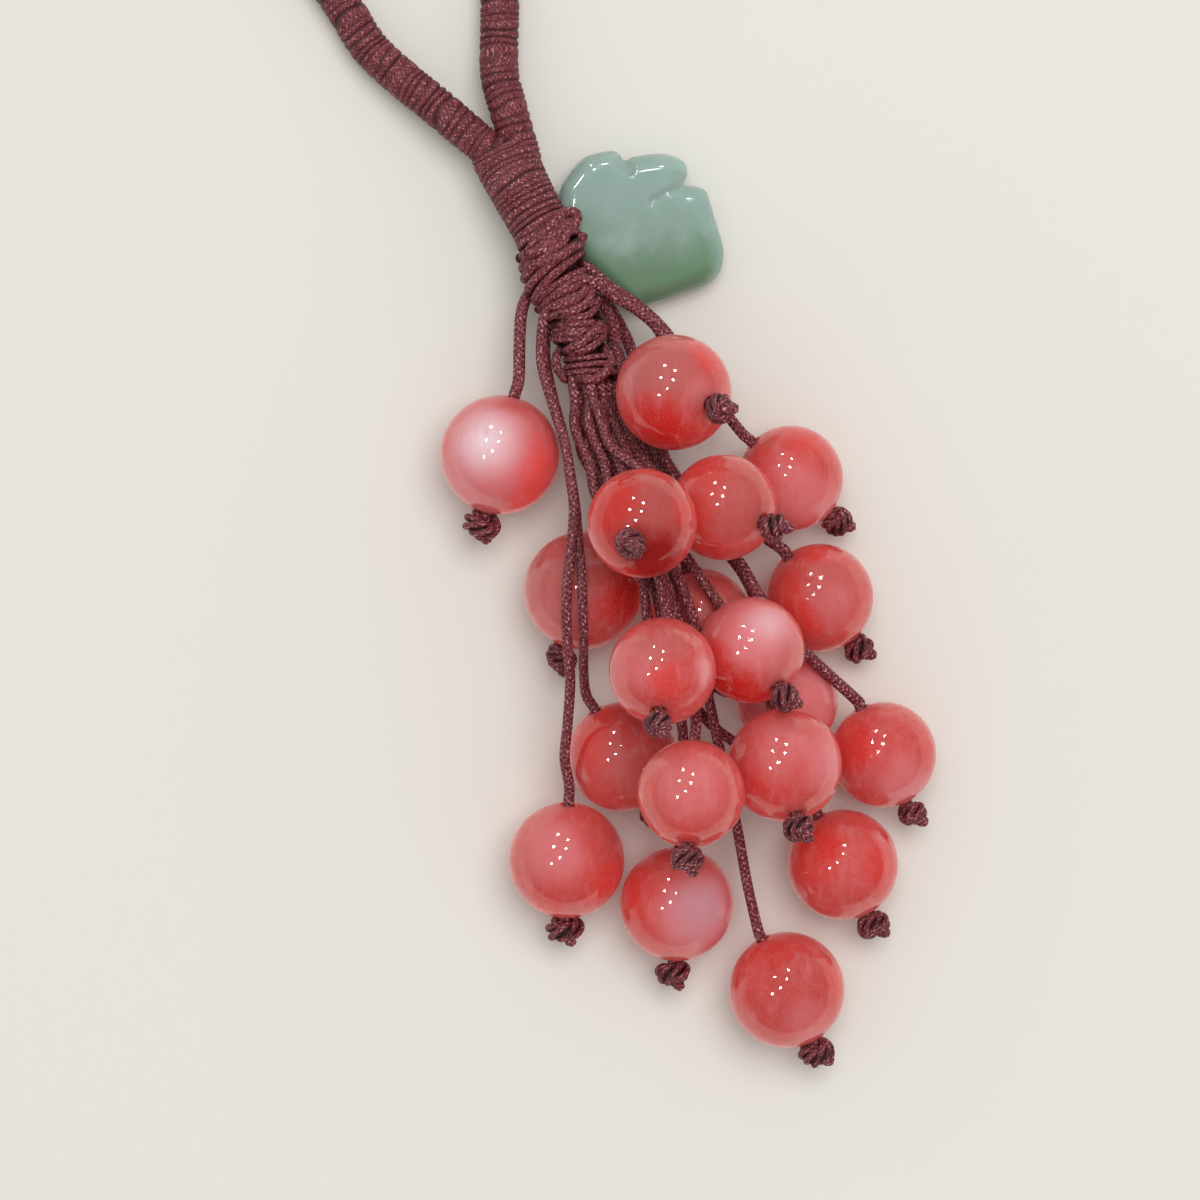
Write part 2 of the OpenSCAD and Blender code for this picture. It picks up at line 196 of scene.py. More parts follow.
LOOP = [
    [-18.4, 43.9, 5.2], [-19.5, 45.4, 4.8], [-20.6, 46.7, 4.5], [-22, 47.9, 4.4], [-24.4, 49.9, 4.3],
    [-27.2, 52.3, 3.8], [-30.6, 55.1, 3], [-34.1, 58.5, 2.4], [-37, 63.1, 2.2], [-41, 69, 2.2],
    [-45.5, 76, 2.2], [-49, 84, 2.2], [-51, 92, 2.2], [-51, 100.5, 2.2], [-48, 108, 2.2],
    [-42.5, 113, 2.2], [-35.5, 114, 2.2], [-29, 111, 2.2], [-24.5, 105, 2.2], [-22, 97, 2.2],
    [-20.5, 88, 2.2], [-20, 78, 2.2], [-20, 68, 2.3], [-20.1, 61, 2.7], [-20.1, 55.6, 3.6],
    [-19.3, 52.2, 4.3], [-18.4, 49.1, 4.4], [-17.8, 47.2, 4.6], [-17.4, 45.4, 4.9], [-17.1, 43.6, 5.4],
]
LEAF_THREAD = [[-14.8, 36.3, 2.2], [-14.2, 37.4, 1.0], [-13.2, 38.2, 0.8], [-12.4, 38.5, 1.9],
               [-12.4, 38.5, 4.2]]
# How the threads that leave the side of a knot run on inside it.
INNER = {
    0: [[-12, 34.6, 5.4], [-13.3, 33.7, 4.5]],
    1: [[-14.8, 34.2, 3.7], [-13.7, 33.2, 3.2]],
    2: [[-12.6, 35.2, 6.4], [-11.4, 34.9, 6.2]],
    5: [[-13.6, 33.4, 7.6], [-12.3, 33.5, 8.2]],
    10: [[-11.6, 31.6, 5.6], [-10.2, 31.4, 3.8]],
    11: [[-12, 30.8, 5.6], [-11, 30.4, 4.3]],
    13: [[-13, 30.4, 6.6], [-14.2, 29.5, 5.9]],
    16: [[-13.2, 31, 7.4], [-14.7, 30, 8.2]],
}
# The others run on in the last knot, and keep a share of their distance from its middle.
KNOT_END = np.array([-10.0, 21.7, 7.0])
RUNS_ON = [([-0.9, 3.2, 0], 0.5), ([-0.5, 1.6, 0], 0.8)]
print("points of the loop:", len(LOOP))

# %% [markdown]
# A cord is drawn as a line first. It could be a Blender curve, but its skin needs more than a bevel can
# give. Between two points the line is a cubic whose slope at each end is half the way from the point
# before to the point after. All of its cubics are worked out at once, and then read again at even
# lengths, so that a weave laid along the line keeps one pitch.

# %% Lines


def unit(v):
    """Each vector divided by its own length."""
    v = np.asarray(v, float)
    return v / np.linalg.norm(v, axis=-1, keepdims=True)


def lengths(line):
    """How far along the line each of its points is."""
    steps = np.linalg.norm(np.diff(line[:, :3], axis=0), axis=1)
    return np.concatenate([[0], np.cumsum(steps)])


def even(line, step):
    """The same line, read at even lengths about a step apart."""
    gone = lengths(line)
    wanted = np.linspace(0, gone[-1], max(2, int(round(gone[-1] / step)) + 1))
    return np.stack([np.interp(wanted, gone, column) for column in line.T], axis=1)


def smooth_line(rows, step, before=None, after=None, fine=24):
    """Rows of numbers joined by cubics, read about every step of length of their first three numbers.

    Between b and c, at t from 0 to 1: half of (2b + (c-a)t + (2a-5b+4c-d)t^2 + (3b-a-3c+d)t^3).
    """
    rows = np.asarray(rows, float)
    first = 2 * rows[0] - rows[1] if before is None else before
    last = 2 * rows[-1] - rows[-2] if after is None else after
    r = np.vstack([first, rows, last])
    a, b, c, d = (r[k:len(r) - 3 + k, None, :] for k in range(4))
    t = (np.arange(fine) / fine)[None, :, None]
    line = 2 * b + (c - a) * t + (2 * a - 5 * b + 4 * c - d) * t ** 2 + (3 * b - a - 3 * c + d) * t ** 3
    return even(np.vstack([line.reshape(-1, r.shape[1]) / 2, rows[-1:]]), step)


def directions(line):
    """The way the line runs at each point: from the point before to the point after."""
    return unit(np.gradient(line[:, :3], axis=0))


def across(axis):
    """Two directions square to an axis and to each other."""
    side = unit(np.cross(X_AXIS, axis))
    return side, np.cross(axis, side)


def share_between(x, low, high):
    """0 at low, 1 at high, and straight between."""
    return np.clip((x - low) / (high - low), 0, 1)


print("loop's middle line in mm:", round(lengths(smooth_line(LOOP, 1))[-1], 1))

# %% [markdown]
# A thread leaves the knots, follows its route, goes straight through its bead and ends in a short tail
# below the stopper knot.

# %% The threads' lines


def bead_frame(bead):
    """A bead's middle, its radius and the way its hole runs.

    The way is (cos rise cos heading, cos rise sin heading, sin rise), with both angles in degrees.
    """
    heading, rise = np.radians(bead[4:6])
    flat = math.cos(rise)
    axis = np.array([flat * math.cos(heading), flat * math.sin(heading), math.sin(rise)])
    return np.array(bead[:3]), BEAD_D * bead[3] / 2, axis


def thread_line(number, step):
    """A thread's whole line: its route, its bead's hole, and on through the knot to its cut end."""
    middle, radius, axis = bead_frame(BEADS[number])
    apart = np.array(ROUTES[number][0]) - KNOT_END
    inner = INNER.get(number, [KNOT_END + run + apart * kept for run, kept in RUNS_ON])
    lead = LEAD_OF.get(number, LEAD)
    rows = [*inner, *ROUTES[number], middle - axis * (radius + lead), middle - axis * radius]
    knot = middle + axis * (radius + STOPPER_L - 1)
    cut = knot + axis * TAIL_L + unit(X_AXIS - axis * axis[0]) * TAIL_ASIDE
    return even(np.vstack([smooth_line(rows, step, after=middle), middle, knot, cut]), step)


print("longest thread in mm:", round(max(lengths(thread_line(i, 1))[-1] for i in range(len(BEADS))), 1))

# %% [markdown]
# A line becomes a cord when a ring is carried along it. At each point the ring lies square to the line,
# between a side and a lift. Both come from one axis that the line never runs along, so the ring can't
# spin. The skin is a grid with one row for each ring. Its map holds the length along and the share of
# the way round, and the weave is drawn on those.

# %% Skins


def angles(count):
    """Even angles once round."""
    return np.linspace(0, 2 * np.pi, count, endpoint=False)


def ring_grid(line, radius, never=X_AXIS, flat=1.0):
    """Points of a skin: the line plus radius times (cos a times side, plus flat times sin a times lift).

    radius holds a row for each point of the line and a column for each angle a.
    """
    line = line[:, :3]
    along = directions(line)
    side = unit(np.cross(never, along))
    lift = np.cross(along, side)
    angle = angles(radius.shape[1])[None, :, None]
    spokes = side[:, None] * np.cos(angle) + lift[:, None] * (np.sin(angle) * np.reshape(flat, (-1, 1, 1)))
    return line[:, None] + radius[..., None] * spokes


def quad_corners(rows, columns):
    """The row and the column of each corner of a grid's quads. The last column's quads close the ring."""
    i, k = np.meshgrid(np.arange(rows), np.arange(columns), indexing="ij")
    row, column = np.stack([i, i, i + 1, i + 1], -1), np.stack([k, k + 1, k + 1, k], -1)
    return row.reshape(-1, 4), column.reshape(-1, 4)


def skin(grid, along=None, out=1.0):
    """A closed skin over a grid: quads between rows, and a fan to the middle of each end row.

    `out` says how far out of the folds each of its points is, from 0 to 1. Finishes paint shade in folds by
    it.
    """
    rows, columns = grid.shape[:2]
    if along is None:
        along = lengths(grid.mean(axis=1))
    row, column = quad_corners(rows - 1, columns)
    k, start = np.arange(columns), rows * columns
    near = np.stack([(k + 1) % columns, k, 0 * k + start], -1)
    far = np.stack([start - columns + k, start - columns + (k + 1) % columns, 0 * k + start + 1], -1)
    fan = np.stack([k + 1, k, k + 0.5], -1)
    maps = [(along[row], column), (along[0], fan), (along[-1], fan[:, [1, 0, 2]])]
    out = np.broadcast_to(out, (rows, columns))
    return {
        "points": np.vstack([grid.reshape(-1, 3), grid[0].mean(axis=0), grid[-1].mean(axis=0)]),
        "out": np.concatenate([out.ravel(), out[[0, -1], 0]]),
        "faces": [row * columns + column % columns, near, far],
        "maps": [np.stack([np.broadcast_to(u, v.shape), v / columns], -1) for u, v in maps],
    }


def make_piece(name, skins, node):
    """One mesh object from skins in millimetres: at the origin, smooth, with the skins' maps as its UV."""
    mesh = bpy.data.meshes.new(name)
    offsets = np.cumsum([0] + [len(s["points"]) for s in skins])
    points = np.vstack([s["points"] for s in skins]) * MM
    faces = [f + offset for s, offset in zip(skins, offsets) for f in s["faces"]]
    corners = np.concatenate([f.ravel() for f in faces])
    sizes = np.concatenate([np.full(len(f), f.shape[1]) for f in faces])
    maps = np.concatenate([m.reshape(-1, 2) for s in skins for m in s["maps"]])
    out = np.concatenate([s["out"] for s in skins])
    mesh.vertices.add(len(points))
    mesh.vertices.foreach_set("co", points.ravel())
    mesh.loops.add(len(corners))
    mesh.loops.foreach_set("vertex_index", corners.astype(np.int32))
    mesh.polygons.add(len(sizes))
    mesh.polygons.foreach_set("loop_start", (np.cumsum(sizes) - sizes).astype(np.int32))
    mesh.update(calc_edges=True)
    mesh.uv_layers.new(name="map").data.foreach_set("uv", maps.ravel())
    mesh.attributes.new("out", "FLOAT", "POINT").data.foreach_set("value", out)
    mesh.polygons.foreach_set("use_smooth", np.ones(len(sizes), bool))
    mesh.validate()
    piece = add_object(name, mesh)
    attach(piece, "root")
    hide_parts(node)
    return piece


def triangles(*pieces):
    """How many triangles the pieces have."""
    return sum(len(face.vertices) - 2 for piece in pieces for face in piece.data.polygons)


# %% [markdown]
# The threads are braided: strands run round both ways, over and under each other. Real strands would
# look right, but nineteen threads of them are heavy. Seen from outside, a braid is columns of slanted
# bumps, like a row of V shapes. So the skin's radius gets bumps where a strand comes up: one family
# where the angle is 0, and the other, slanted the other way, half a column round.

# %% Braid
COLUMNS = 4
PITCH = 0.56
RELIEF = 0.08
RISE = 1.3
BRAID_STEP = 0.15
BRAID_SIDES = 18


def braid(along, angle):
    """Height of a braid's bumps, from 0 to 1, at a length along in millimetres and an angle round it.

    With p = columns times angle and q = 2 pi along / pitch, one family is (1+cos(p+q))(1+cos p)/4 and the
    other (1+cos(p-q))(1-cos p)/4. The height is the square root of the larger.
    """
    p = COLUMNS * angle
    q = 2 * np.pi * along / PITCH
    one = (1 + np.cos(p + q)) * (1 + np.cos(p)) / 4
    other = (1 + np.cos(p - q)) * (1 - np.cos(p)) / 4
    return np.sqrt(np.maximum(one, other))


def braided(line, diameter, never=X_AXIS, sides=BRAID_SIDES, taper=1.0, folds=None, relief=RELIEF):
    """A skin round the line. Its radius is the cord's times (1 - relief + relief times rise times braid).

    `folds` gives how far out of the folds a point is, which the finish turns into painted shade.
    """
    along = lengths(line)
    radius = diameter / 2 * (1 - relief + relief * RISE * braid(along[:, None], angles(sides)[None]))
    grid = ring_grid(line, radius * np.reshape(taper, (-1, 1)), never)
    return skin(grid, along, 1.0 if folds is None else folds(grid))


print("height of a bump in mm:", round(THREAD_D / 2 * RELIEF * RISE, 3))

# %% [markdown]
# Under each bead the thread is tied into a stopper knot. The real knot's path could be followed strand by
# strand, but at this size only its look counts: a strand that winds round and in and out of itself. One
# closed line does that, and a ball inside, in painted shade, closes the gaps.

# %% Stopper knots
STRAND_D = 0.76
# Of a knot's size: how far out its line runs, how far in and out and up and down it goes, and how far out
# and up its core reaches.
KNOT_OUT = 0.255
KNOT_IN_AND_OUT = 0.125
KNOT_UP = 0.25
CORE_OUT = 0.34
CORE_UP = 0.24


def knot_line(middle, axis, turn, size, wide, times, lobes):
    """A closed line that goes round the axis `times` times, and in and out of itself `lobes` times.

    The distance from the axis is wide (r0 + r1 cos(lobes t)), the height h sin(lobes t) and the angle
    times t. Slow waves make one side fuller than the other, and let the turns cross.
    """
    t = np.linspace(0, 2 * np.pi, 280)
    out = size * wide * (KNOT_OUT + KNOT_IN_AND_OUT * np.cos(lobes * t))
    out = out * (1 + 0.12 * np.cos(times * t + turn)) * (1 + 0.1 * np.cos(3 * t + turn))
    up = size * KNOT_UP * np.sin(lobes * t) * (1 + 0.16 * np.sin(2 * t + turn))
    side, lift = across(axis)
    a = times * t + turn
    round_axis = np.cos(a)[:, None] * side + np.sin(a)[:, None] * lift
    return middle + out[:, None] * round_axis + up[:, None] * axis


def stopper(middle, axis, turn, size, wide, times, lobes):
    """The skins of a stopper knot: the strand that winds, and a dark core that closes the gaps in it.

    The strand's `out` follows the square root of (aside / reach)^2 + (up / height)^2, the core's is 0, and
    shade is painted by it. At the share s of its half-height, the core's radius is that of its middle times
    sqrt(1 - s^2).
    """
    strand = even(knot_line(middle, axis, turn, size, wide, times, lobes), BRAID_STEP)
    wound = braided(strand, STRAND_D, never=axis, sides=12)
    away = wound["points"] - middle
    up = away @ axis
    aside = np.linalg.norm(away - up[:, None] * axis, axis=1)
    reach = size * wide * (KNOT_OUT + KNOT_IN_AND_OUT) + STRAND_D / 2
    height = size * KNOT_UP + STRAND_D / 2
    wound["out"] = share_between(np.hypot(aside / reach, up / height), 0.7, 0.95)
    share = np.linspace(-0.98, 0.98, 9)[:, None]
    core_radius = size * wide * CORE_OUT * np.sqrt(1 - share ** 2) * np.ones(16)
    core = ring_grid(middle + share * size * CORE_UP * axis, core_radius, unit(np.cross(axis, X_AXIS)))
    return [wound, skin(core, out=0.0)]


sample = knot_line(np.zeros(3), Z_AXIS, 0, STOPPER_D, 1, 5, 7)
print("strand in a stopper knot in mm:", round(lengths(sample)[-1], 1))

# %% [markdown]
# The threads are pulled tight where they leave the knots, and there they are thinner. A slack one sways a
# little on its way, and no two stopper knots are alike. Each thread is one piece with its knot.

# %% Threads
# The width near the knots, as a share of the relaxed thread's. Those in the list leave a knot's side.
DRAWN = {0: 1.0, 1: 0.95, 2: 0.88, 4: 0.95, 5: 0.98, 10: 0.97, 11: 0.97, 13: 0.8, 16: 0.86}
DRAWN_OTHERS = 0.86
SWAY = 0.32
KNOT_SUNK = 0.1
# Stopper knots that are wider than the others, and how often a knot's strand goes round, and in and out.
WIDER = {0: 1.38, 6: 1.2, 16: 1.36, 17: 1.25, 18: 1.25}
STOPPER_TURNS = [[5, 7], [4, 7], [5, 8], [4, 5]]
dice = np.random.default_rng(7)


def swayed(line, phase):
    """The line with two slow waves across it, which fade out at the knots and before the bead."""
    gone = lengths(line)
    sway = SWAY * np.interp(gone, [3, 6, 14, 19], [0, 1, 1, 0])
    sway = sway * np.interp(gone[-1] - gone, [12, 16], [0, 1])
    waves = [np.sin(gone * 0.75 + phase[0]), 0 * gone, np.sin(gone * 0.6 + phase[1])]
    return line + np.stack(waves, axis=1) * sway[:, None]


thread_pieces = []
for number, bead in enumerate(BEADS):
    node = "thread_%02d" % (number + 1)
    line = thread_line(number, BRAID_STEP)
    left = lengths(line)[-1] - lengths(line)
    phase = dice.uniform(0, 6.28, 2)
    if number not in DRAWN:
        line = swayed(line, phase)
    middle, radius, axis = bead_frame(bead)
    middle = middle + axis * (radius + STOPPER_L / 2 - KNOT_SUNK)
    size = STOPPER_D * dice.uniform(0.88, 0.98)
    wide = WIDER.get(number, dice.uniform(1.0, 1.15))
    tilted = unit(axis + dice.uniform(-0.35, 0.35, 3))
    turns = STOPPER_TURNS[int(dice.integers(len(STOPPER_TURNS)))]
    knot_skins = stopper(middle, tilted, dice.uniform(0, 6.28), size, wide, *turns)
    thin = DRAWN.get(number, DRAWN_OTHERS)
    taper = np.interp(left, [0, 0.35, 0.6, 9, 20], [0.55, 0.9, 1.0, 1.0, thin])
    skins = [braided(line, THREAD_D, taper=taper)] + knot_skins
    piece = make_piece("braid_%02d" % (number + 1), skins, node)
    thread_pieces.append(piece)
print("thread triangles:", triangles(*thread_pieces))

# %% [markdown]
# The hanging loop and the stem are whipped: a thin thread is wound round them, turn beside turn. The turns
# could be one very long spiral tube, but a skin with a ridge for each turn looks the same and costs far
# less. How high the ridge is depends on length / pitch - angle / 2 pi alone.

# %% Whipping
WHIP_PITCH = 0.72
LOOP_PITCH = 0.94
WHIP_RELIEF = 0.3


def whipped(line, width, height, sides, pitch):
    """A skin round the line with a ridge for each turn of a thin thread. width and height may vary.

    Slow waves make some turns wider. Towards each groove the skin goes down by |2 share - 1|^2.5 times
    the groove's own depth, which is drawn by lot. Its `out` is 1 minus that: shade is painted in the
    grooves.
    """
    along = lengths(line)
    share_round = np.arange(sides)[None] / sides
    count = along / pitch + 0.22 * np.sin(along * 2.1) + 0.3 * np.sin(along * 0.83 + 1)
    turns = count[:, None] - share_round + 2
    turns = turns + 0.12 * np.sin(4 * np.pi * share_round + along[:, None] * 1.3)
    depths = np.random.default_rng(3).uniform(0.35, 1.0, int(turns.max()) + 3)
    down = depths[np.round(turns).astype(int)] * np.abs(2 * (turns % 1) - 1) ** 2.5
    radius = np.reshape(width, (-1, 1)) / 2 - WHIP_RELIEF * down
    return skin(ring_grid(line, radius, Z_AXIS, flat=height / width), count, 1 - down)


# %% Loop
loop_line = smooth_line(LOOP, LOOP_PITCH / 8)
left = np.minimum(lengths(loop_line), lengths(loop_line)[-1] - lengths(loop_line))
loop_width = LOOP_D * np.interp(left, [0, 0.6, 5, 9], [0.8, 0.92, 0.96, 1.0])
loop_skin = whipped(loop_line, loop_width, loop_width, 32, LOOP_PITCH)
loop_piece = make_piece("whipped_loop", [loop_skin], "hang_loop")

# %% Stem, and the tie of the leaf
wrap_line = smooth_line(WRAP, WHIP_PITCH / 10)
wrap_skin = whipped(wrap_line, wrap_line[:, 3] * WRAP_D, wrap_line[:, 4] * WRAP_D, 72, WHIP_PITCH)
wrap_piece = make_piece("stem_whipping", [wrap_skin], "stem_wrap")
tie_skin = braided(smooth_line(LEAF_THREAD, BRAID_STEP), THREAD_D)
leaf_tie = make_piece("leaf_tie", [tie_skin], "leaf_thread")
print("stem and tie triangles:", triangles(wrap_piece, leaf_tie))

# %% [markdown]
# Below the whipping, four knots gather the threads. Each is a few slanted turns of the same thread round
# a core, with strands that cross over them where the knot was pulled tight. A simulated knot would settle
# in some other way, so each strand is laid where it is seen. First comes a table of the stem: its middle,
# its width and its height at each length. The turns and strands are laid round it.

# %% The knots' stem
stem_rows = [[*row[:3], row[3] * WRAP_D / BULGE_D, row[4] * WRAP_D / BULGE_D] for row in WRAP[1:4]]
knot_table = smooth_line(stem_rows + KNOTS, 0.1)
knot_along = lengths(knot_table) - lengths(smooth_line(stem_rows + KNOTS[:1], 0.1))[-1]
knot_ways = directions(knot_table)


def read_along(along, table):
    """The rows of a table of the stem, read at lengths along it."""
    return np.stack([np.interp(along, knot_along, column) for column in table.T], axis=1)


def stem_frame(along):
    """At each length along the stem: its middle, its right side, its lift and its half width and height."""
    row = read_along(along, knot_table)
    way = unit(read_along(along, knot_ways))
    side = unit(np.cross(way, Z_AXIS))
    side = side * np.sign(side[:, :1])
    lift = np.cross(side, way)
    return row[:, :3], side, lift * np.sign(lift[:, 2:]), row[:, 3:5] * BULGE_D / 2


def nearest_row(points, every=1):
    """For each point, seen from above, the row of the stem's table that is nearest."""
    away = points[:, None, :2] - knot_table[None, ::every, :2]
    return np.linalg.norm(away, axis=-1).argmin(axis=1) * every


def stem_folds(grid):
    """0 at the stem's core and 1 on the outside of its knots.

    It follows the square root of (aside/half-width)^2 + (up/half-height)^2. Neighbours share one nearest
    row, because to look for each point's own takes long.
    """
    points, together = grid.reshape(-1, 3), 7
    nearest = np.repeat(nearest_row(points[::together], every=4), together)[:len(points)]
    middle, side, lift, half = stem_frame(knot_along[nearest])
    aside = ((points - middle) * side).sum(axis=1) / half[:, 0]
    up = ((points - middle) * lift).sum(axis=1) / half[:, 1]
    # Where this is low, the finish paints shade.
    return share_between(np.hypot(aside, up), 0.86, 0.99).reshape(grid.shape[:2])


print("length of the knots in mm:", round(knot_along[-1], 1))

# %% Turns of the knots
POINTS_A_TURN = 60


def knot_strand(line, thick, never):
    """The skin of one strand of the knots."""
    return braided(line, thick, never=unit(never), sides=14, folds=stem_folds, relief=0.06)


def turns_round(start, end, count, slant, thick, swell):
    """Turns from start to end along the stem, each lower on the left by twice the slant.

    At the angle a, a turn is half-width times cos a to the side and half-height times sin a up.
    """
    angle = np.linspace(0, 2 * np.pi * count, int(POINTS_A_TURN * count))
    share = np.linspace(0, 1, len(angle))
    middle, side, lift, half = stem_frame(start + (end - start) * share - slant * np.cos(angle))
    if swell is not None:
        swollen = np.interp(share, np.linspace(0, 1, len(swell)), swell) * BULGE_D / 2
        half = np.stack([swollen, swollen], axis=1)
    out = (half - thick / 2) * np.stack([np.cos(angle), np.sin(angle)], axis=1)
    line = middle + out[:, :1] * side + out[:, 1:] * lift
    return knot_strand(even(line, BRAID_STEP), thick, [0.25, -0.97, 0.1])


# start, end, count, slant, thick, half-width as shares of the bulge's
TURNS = [
    [-0.9, 4.4, 5, 1.3, 1, [0.9, 0.97, 1, 0.97, 0.88]],
    [4.5, 5.9, 2, 0.5, 0.7, [0.84, 0.8, 0.84]],
    [6.4, 8.5, 2, -0.5, 0.94, None],
    [9.8, 11.7, 2, -0.7, 0.86, None],
    [12.9, 15.1, 3, -0.75, 0.7, None],
]
turn_skins = [turns_round(*row) for row in TURNS]
print("turns of thread:", sum(row[2] for row in TURNS))

# %% Strands over the knots
# An end that is further out than this share of the stem's half-width goes round its edge.
NEAR_EDGE = 0.75


def strand_over(thick, above, points):
    """A strand that lies on the stem where it is seen, and goes round its edge or into it at both ends.

    Where it is t to the side of the stem's middle, it lies half-height times sqrt(1 - (t/half-width)^2)
    up. An end near the edge of the stem goes on below it, and any other end dives.
    """
    line = smooth_line([[*point, 0] for point in points], 0.2)
    middle, side, lift, half = stem_frame(knot_along[nearest_row(line)])
    aside = ((line - middle)[:, :2] * unit(side[:, :2])).sum(axis=1)
    share = np.abs(aside) / (half[:, 0] - thick / 2)
    up = half[:, 1] * np.sqrt(np.clip(1 - share ** 2, 0, 1)) - thick / 2
    line[:, 2] = middle[:, 2] + np.maximum(up, 0) + above
    ends = []
    for end, before in ((0, 2), (-1, -3)):
        if share[end] > NEAR_EDGE:
            under = line[end] - side[end] * np.sign(aside[end]) * 0.7
            under[2] = middle[end, 2] - half[end, 1] * 0.6
            ends.append(under)
        else:
            ends.append(line[end] + unit(line[end] - line[before]) * 0.8 - [0, 0, thick * 1.3])
    line = smooth_line(np.vstack([ends[0], line[::2], ends[1]]), BRAID_STEP, fine=8)
    return knot_strand(line, thick, [0.75, 0.1, 0.65])


# thick, above, and the points that it is seen to pass
OVER = [
    [1.15, 0.45, [[-13.9, 39.2], [-13.2, 40.2], [-12.3, 40.5], [-11.8, 40], [-12.1, 39.2], [-13, 38.4],
     [-13.9, 37.6], [-14.8, 36.8], [-15.6, 36.2], [-16.8, 35.8], [-18, 35.5]]],
    [1.15, 0.25, [[-11.2, 37.8], [-12.4, 36.6], [-13.6, 35.6], [-15.2, 35], [-17.6, 34.6]]],
    [0.95, 0.25, [[-16.2, 31.1], [-15.1, 31], [-13.9, 31.6], [-12.4, 32.2], [-11.4, 32.8]]],
    [0.95, 0.35, [[-15.9, 30.1], [-14.6, 30.3], [-12.9, 30.6], [-11.6, 31.3], [-10.9, 32.2]]],
    [0.95, 0.4, [[-13.6, 29.5], [-11.9, 29.9], [-10.8, 30.7], [-10.3, 31.9]]],
    [0.95, 0.3, [[-13, 28.9], [-10.9, 29.3], [-9.9, 30.3], [-9.8, 31.3]]],
    [0.9, 0.25, [[-14.4, 28.4], [-13.4, 28.5], [-11.6, 28.5], [-10.2, 28.6]]],
    [0.9, 0.35, [[-14.3, 27.1], [-13.2, 27.4], [-12.2, 27.4], [-11.4, 27.1]]],
    [0.9, 0.45, [[-12.7, 25.8], [-11.2, 26.5], [-10.1, 27.7], [-9.4, 28.6]]],
    [0.9, 0.4, [[-12, 25.4], [-10.4, 26], [-9.3, 27], [-8.9, 28.2]]],
    [1.1, 0.75, [[-8.9, 25.7], [-8.3, 24.6], [-8.8, 23.4], [-9.9, 22.6], [-11.3, 22.7]]],
    [1, 0.3, [[-13.5, 25.9], [-14, 25], [-13.9, 23.9], [-13, 22.6]]],
]
over_skins = [strand_over(*row) for row in OVER]
print("strands over them:", len(over_skins))

# %% Gathering knots
CORE_UNDER = 1.0
core_radius = np.repeat((knot_table[:, 3] * BULGE_D / 2 - CORE_UNDER)[:, None], 24, axis=1)
# The core is in painted shade, as the folds are.
core = skin(ring_grid(knot_table, core_radius, Z_AXIS, flat=knot_table[:, 4] / knot_table[:, 3]), out=0.0)
knot_piece = make_piece("tied_knots", [core] + turn_skins + over_skins, "gather_knots")
print("knot triangles:", triangles(knot_piece))

# %% [markdown]
# A bead is a ball of stone with a drilled hole. A cylinder cut out of a sphere would leave a sharp rim, so
# the bead is turned: a profile goes round the axis of its hole. It is a half circle whose ends are rounded
# into the hole, where the drill's edge was polished off.

# %% Beads
HOLE_D = 1.6
LIP = 0.22


def bead_profile(radius, count=44):
    """Height along the axis and distance from it, from the hole's middle over one lip, the ball, the other.

    The lip is a quarter turn of a small circle that touches the ball and the wall of the hole.
    """
    hole = HOLE_D / 2
    lip_height = math.sqrt((radius - LIP) ** 2 - (hole + LIP) ** 2)
    start = math.atan2(hole + LIP, lip_height)
    ball = np.linspace(start, np.pi - start, count)
    turn = np.linspace(-np.pi / 2, start, 7)[:-1]
    lip_up = lip_height + LIP * np.cos(turn)
    lip_out = hole + LIP + LIP * np.sin(turn)
    up = np.concatenate([[0], lip_up, radius * np.cos(ball), -lip_up[::-1], [0]])
    out = np.concatenate([[hole], lip_out, radius * np.sin(ball), lip_out[::-1], [hole]])
    return up, out


def turned(bead, sides=64):
    """A grid turned round the bead's axis: middle + up times axis + out (cos a side + sin a lift)."""
    middle, radius, axis = bead_frame(bead)
    up, out = bead_profile(radius)
    side, lift = across(axis)
    angle = angles(sides)[:, None]
    spoke = np.cos(angle) * side + np.sin(angle) * lift
    return middle + up[:, None, None] * axis + out[:, None, None] * spoke[None]


def ring_skin(grid):
    """A skin that closes on itself both ways, as a drilled ball does. Its quads run the other way round."""
    rows, columns = len(grid) - 1, grid.shape[1]
    row, column = (corners[:, [0, 3, 2, 1]] for corners in quad_corners(rows, columns))
    return {
        "points": grid[:-1].reshape(-1, 3), "out": np.ones(rows * columns),
        "faces": [row % rows * columns + column % columns],
        "maps": [np.stack([row / rows, column / columns], -1)],
    }


bead_pieces = []
for number, bead in enumerate(BEADS):
    node = "bead_%02d" % (number + 1)
    bead_pieces.append(make_piece("polished_" + node, [ring_skin(turned(bead))], node))
print("bead triangles:", triangles(*bead_pieces))

# %% [markdown]
# The leaf is carved from one pebble: a domed plate with two notches in its edge. A bevelled outline would
# have an even rim, so the leaf is a grid too. Each row is the outline drawn in towards the middle, and
# its height comes from its distance to the edge. Then a groove lowers the top by its depth times a bell
# curve of the distance to its line.

# %% Leaf
LEAF = [
    [-13.8, 40.2], [-12.5, 37], [-10.4, 34.5], [-8.3, 32.3], [-6.1, 30.6], [-4.2, 30.8], [-0.8, 31.9],
    [2.2, 33.1], [3.5, 34.4], [3.9, 36.3], [3.6, 38], [2.6, 41.2], [2, 43], [0.9, 43.5], [-0.4, 43.7],
    [0, 45], [-0.6, 46.3], [-2.6, 47], [-5.6, 46.7], [-6.7, 46.3], [-7.6, 47.2], [-9.4, 47.1],
    [-11.2, 46.4], [-12.7, 44.7], [-13.7, 42.9],
]
LEAF_MIDDLE = np.array([-4.7, 38.8])
LEAF_T = 4.9
LEAF_ROUND = 2.1
LEAF_LIFT = 1.5
THINNEST = 0.78
LEAF_STEP = 0.22
LEAF_ROWS = 40
